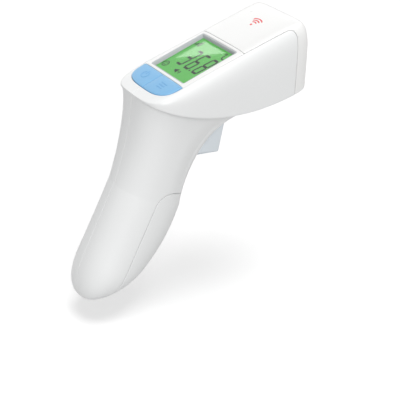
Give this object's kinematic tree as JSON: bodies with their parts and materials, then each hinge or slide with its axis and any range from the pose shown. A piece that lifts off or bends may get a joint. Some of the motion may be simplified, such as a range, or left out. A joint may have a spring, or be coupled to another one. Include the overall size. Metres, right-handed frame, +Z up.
{
  "type": "infrared forehead thermometer",
  "caption": "Pistol-shaped digital thermometer: wedge head with a green display, two keys and a nose sensor, leaning handle with trigger and sliding battery cover.",
  "frame": {"origin": "centre of the sensor opening, in the plane of the nose's front face", "axes": "+X along the sensor axis towards the patient, +Y to the left of someone holding it, +Z up"},
  "size_m": [0.1303, 0.0488, 0.1405],
  "materials": {
    "housing": "satin",
    "bezel": "satin",
    "key": "matte",
    "trigger": "satin",
    "surround": "matte",
    "window": "clear",
    "lcd": "satin",
    "backlight": "satin",
    "board": "satin",
    "chip": "matte",
    "sensor_ring": "matte",
    "barrel": "satin",
    "can": "polished",
    "ribbon": "satin",
    "steel": "satin",
    "connector": "matte",
    "tray": "matte",
    "cell": "satin",
    "lead": "satin"
  },
  "bodies": {
    "housing": {"left_shell": "housing", "right_shell": "housing", "nose_cover": "bezel", "display_bezel": "bezel", "window_surround": "surround", "display_window": "window", "lcd_panel": "lcd", "backlight": "backlight", "key_domes": "steel", "main_board": "board", "controller": "chip", "display_connectors": "connector", "buzzer": "chip", "board_screws": "steel", "trigger_pin": "steel", "switch_board": "board", "trigger_switch": "chip", "aperture_ring": "sensor_ring", "sensor_barrel": "barrel", "sensor_can": "can", "sensor_board": "board", "sensor_ribbon": "ribbon", "battery_tray": "tray", "battery_left": "cell", "battery_right": "cell", "contact_springs": "steel", "contact_plates": "steel", "battery_leads": "lead", "housing_screws": "steel"},
    "trigger": {"trigger": "trigger", "trigger_spring": "steel"},
    "mode_key": {"mode_key": "key"},
    "memory_key": {"memory_key": "key"},
    "battery_cover": {"battery_cover": "housing"}
  },
  "joints": [
    {"name": "trigger_pull", "type": "hinge", "parent": "housing", "child": "trigger", "pos_m": [-0.048, 0, -0.019], "axis": [0, 1, 0], "range_deg": [0, 6], "stiffness_Nm_per_rad": 0.5},
    {"name": "mode_press", "type": "slide", "parent": "housing", "child": "mode_key", "axis": [0.3188, 0, -0.9478], "range_m": [0, 0.0008], "stiffness_N_per_m": 800},
    {"name": "memory_press", "type": "slide", "parent": "housing", "child": "memory_key", "axis": [0.3188, 0, -0.9478], "range_m": [0, 0.0008], "stiffness_N_per_m": 800},
    {"name": "cover_slide", "type": "slide", "parent": "housing", "child": "battery_cover", "axis": [-0.4462, 0, -0.8949], "range_m": [0, 0.012]}
  ]
}
